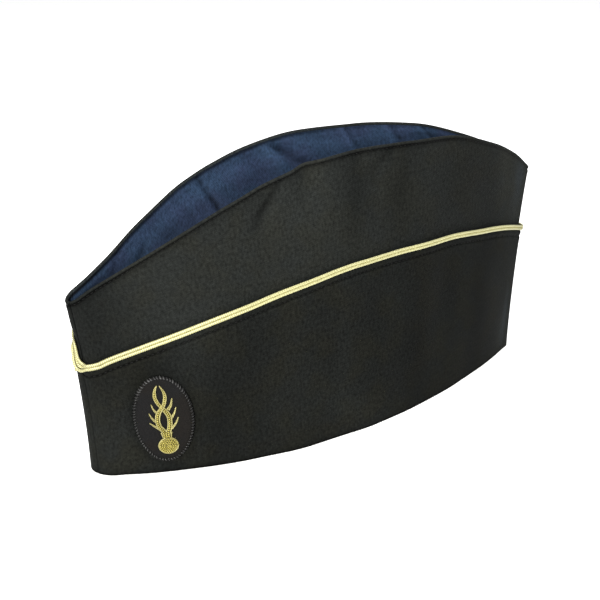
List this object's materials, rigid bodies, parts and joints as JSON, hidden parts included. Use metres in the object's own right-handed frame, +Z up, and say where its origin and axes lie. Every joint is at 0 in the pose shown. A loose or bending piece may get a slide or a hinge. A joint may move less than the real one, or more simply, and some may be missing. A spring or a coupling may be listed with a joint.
{
  "type": "side cap",
  "caption": "Soft boat-shaped cloth side cap with a tall turn-up, a braid along its arched edge, a folded-down top piece and an oval embroidered badge.",
  "frame": {"origin": "on the surface that the cap stands on, under the middle of its box", "axes": "+Z up, -Y towards the cap's front, +Y towards its back, +X towards the wearer's left, where the badge is"},
  "size_m": [0.0828, 0.2927, 0.1518],
  "materials": {
    "black_twill": "matt fine wool twill, near-black",
    "turnup_twill": "matt fine wool twill, near-black",
    "blue_twill": "matt fine twill, dusty dark blue",
    "gold_braid": "metallic thread braid of two cords, pale gold",
    "badge_cloth": "matt felt, black",
    "badge_thread": "overcast thread, grey-black",
    "gold_thread": "raised metallic thread embroidery, gold"
  },
  "bodies": {
    "root": {"crown_left": "black_twill", "crown_right": "black_twill", "turnup_left": "turnup_twill", "turnup_right": "turnup_twill", "crown_gusset": "blue_twill", "braid": "gold_braid", "badge_patch": "badge_cloth", "badge_edge": "badge_thread", "badge_grenade": "gold_thread"}
  },
  "joints": []
}
